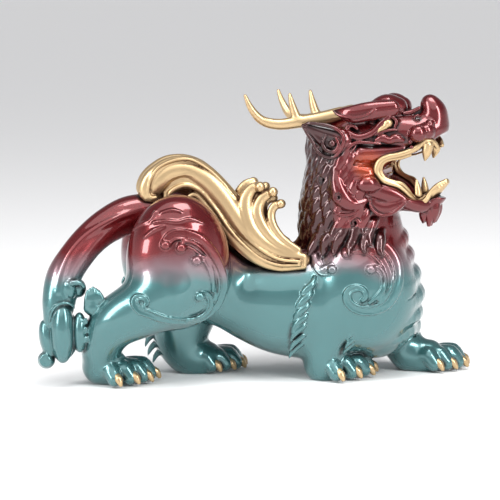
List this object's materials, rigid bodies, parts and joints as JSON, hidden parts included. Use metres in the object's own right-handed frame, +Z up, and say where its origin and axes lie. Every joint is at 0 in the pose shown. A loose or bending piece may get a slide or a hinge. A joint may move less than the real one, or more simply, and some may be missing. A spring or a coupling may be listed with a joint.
{
  "type": "pixiu sculpture",
  "caption": "Striding winged pixiu with turned horned head, open fanged mouth and long hanging tail, a lacquered copper casting that stands on its flat paws",
  "frame": {"origin": "on the ground, under the middle of the figure's bounding box", "axes": "+X forward, the way the beast strides; +Y the beast's left; +Z up, paws on Z = 0"},
  "size_m": [0.268, 0.1012, 0.1717],
  "materials": {
    "lacquered_copper": "gloss"
  },
  "bodies": {
    "root": {"pixiu_figure": "lacquered_copper"}
  },
  "joints": []
}
